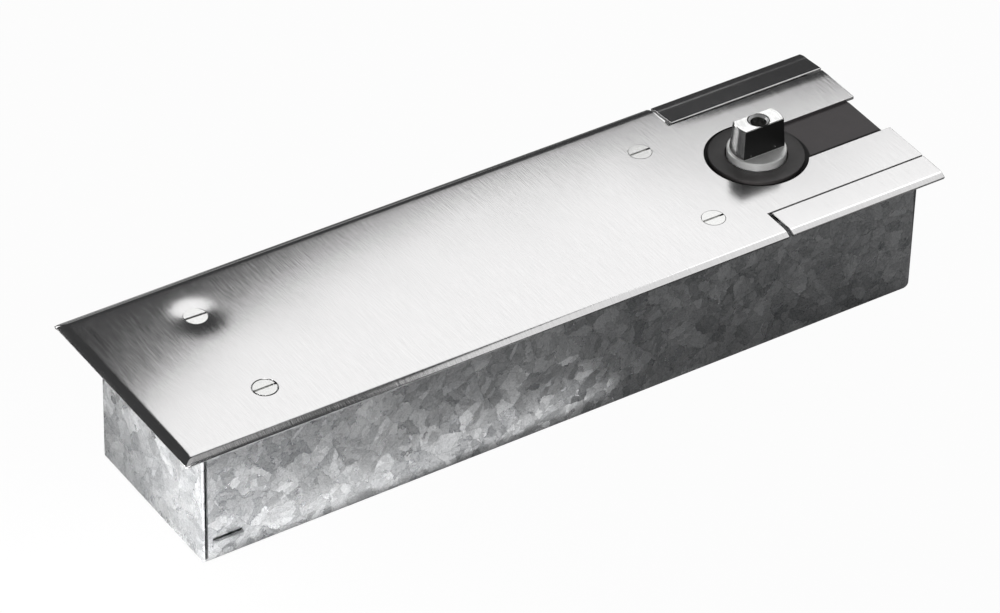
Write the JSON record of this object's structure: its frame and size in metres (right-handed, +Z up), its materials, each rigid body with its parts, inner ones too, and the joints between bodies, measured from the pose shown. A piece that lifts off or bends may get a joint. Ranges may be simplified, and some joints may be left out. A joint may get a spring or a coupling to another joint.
{
  "type": "floor spring door closer",
  "caption": "Hydraulic floor spring in a cement box, with a flush cover plate and a flat conical spindle that carries and closes a swing door.",
  "frame": {"origin": "on the spindle's axis at the finished floor, level with the flat top of the cover plate", "axes": "+Z up along the spindle, +X along the box to the end where the spindle is, +Y across it"},
  "size_m": [0.3612, 0.1032, 0.0831],
  "materials": {
    "cover_steel": "brushed stainless sheet",
    "screw_steel": "plain steel screws",
    "zinc_sheet": "hot-dip zinc with a spangle",
    "zinc_fasteners": "zinc plated",
    "dark_sheet": "matt dark coating",
    "ring_plastic": "matt black",
    "spindle_steel": "turned and ground steel",
    "hard_steel": "hardened and ground steel",
    "spring_steel": "oil-hardened spring steel",
    "casting_iron": "painted casting",
    "bush_bronze": "machined brass",
    "seal_rubber": "nitrile rubber",
    "gasket_fibre": "fibre and filled plastic"
  },
  "bodies": {
    "housing": {"cement_box": "zinc_sheet", "box_far_wall": "zinc_sheet", "box_spindle_wall": "zinc_sheet", "floor_rails": "zinc_sheet", "cover_bracket_near": "zinc_sheet", "cover_bracket_far": "zinc_sheet", "bracket_nuts": "zinc_fasteners", "slot_insert": "dark_sheet", "spindle_ring": "ring_plastic", "closer_body": "casting_iron", "bearing_cover": "casting_iron", "cover_gasket": "gasket_fibre", "bearing_cover_screws": "screw_steel", "upper_bearing_outer_ring": "hard_steel", "thrust_washer_lower": "hard_steel", "foot_bush": "bush_bronze", "spindle_seal": "seal_rubber", "end_plug": "zinc_fasteners", "end_plug_seal": "seal_rubber", "filler_plug": "zinc_fasteners", "fixing_screws": "zinc_fasteners", "fixing_washers": "zinc_fasteners", "levelling_screws": "zinc_fasteners", "outer_spring": "spring_steel", "inner_spring": "spring_steel"},
    "spindle": {"spindle": "spindle_steel", "cam_disc": "hard_steel", "cam_key": "hard_steel", "cam_circlip": "spring_steel", "upper_bearing_inner_ring": "hard_steel", "thrust_washer_upper": "hard_steel"},
    "upper_bearing_set": {"upper_bearing_rollers": "hard_steel"},
    "foot_bearing_set": {"thrust_needles": "hard_steel"},
    "piston": {"piston": "hard_steel", "piston_rings": "gasket_fibre", "check_valve_seat": "hard_steel", "roller_pin": "hard_steel"},
    "check_ball": {"check_valve_ball": "hard_steel"},
    "roller": {"cam_roller": "hard_steel"},
    "roller_needle_set": {"roller_needles": "hard_steel"},
    "closing_valve": {"closing_speed_valve": "bush_bronze", "closing_speed_valve_seal": "seal_rubber"},
    "latching_valve": {"latch_valve": "bush_bronze", "latch_valve_seal": "seal_rubber"},
    "cover": {"cover_plate": "cover_steel", "side_strip_front": "cover_steel", "side_strip_back": "cover_steel", "cover_screws": "screw_steel"}
  },
  "joints": [
    {"name": "spindle_turn", "type": "hinge", "parent": "housing", "child": "spindle", "pos_m": [0, 0, 0], "axis": [0, 0, 1], "range_deg": [0, 130], "stiffness_Nm_per_rad": 2},
    {"name": "upper_bearing_roll", "type": "hinge", "parent": "housing", "child": "upper_bearing_set", "pos_m": [0, 0, -0.012], "axis": [0, 0, 1], "range_deg": [0, 59.3]},
    {"name": "foot_bearing_roll", "type": "hinge", "parent": "housing", "child": "foot_bearing_set", "pos_m": [0, 0, -0.0474], "axis": [0, 0, 1], "range_deg": [0, 65.1]},
    {"name": "piston_slide", "type": "slide", "parent": "housing", "child": "piston", "axis": [-1, 0, 0], "range_m": [0, 0.013], "deforming": ["outer_spring", "inner_spring"]},
    {"name": "check_ball_lift", "type": "slide", "parent": "piston", "child": "check_ball", "axis": [1, 0, 0], "range_m": [0, 0.0005]},
    {"name": "roller_spin", "type": "hinge", "parent": "piston", "child": "roller", "pos_m": [-0.0222, 0, -0.036], "axis": [0, 0, 1], "range_deg": [-287, 0]},
    {"name": "roller_needle_roll", "type": "hinge", "parent": "piston", "child": "roller_needle_set", "pos_m": [-0.0222, 0, -0.036], "axis": [0, 0, 1], "range_deg": [-169, 0]},
    {"name": "closing_valve_turn", "type": "hinge", "parent": "housing", "child": "closing_valve", "pos_m": [-0.09, -0.026, -0.0165], "axis": [0, 0, 1], "range_deg": [-360, 360]},
    {"name": "latching_valve_turn", "type": "hinge", "parent": "housing", "child": "latching_valve", "pos_m": [-0.09, 0.026, -0.0165], "axis": [0, 0, 1], "range_deg": [-360, 360]},
    {"name": "cover_lift", "type": "slide", "parent": "housing", "child": "cover", "axis": [0, 0, 1], "range_m": [0, 0.07]}
  ],
  "couplings": [
    {"joint": "upper_bearing_roll", "follows": "spindle_turn", "ratio": 0.4554},
    {"joint": "foot_bearing_roll", "follows": "spindle_turn", "ratio": 0.5},
    {"joint": "piston_slide", "follows": "spindle_turn", "m_per_rad": 0.0057296},
    {"joint": "roller_spin", "follows": "spindle_turn", "ratio": -2.1953},
    {"joint": "roller_needle_roll", "follows": "spindle_turn", "ratio": -1.289}
  ]
}
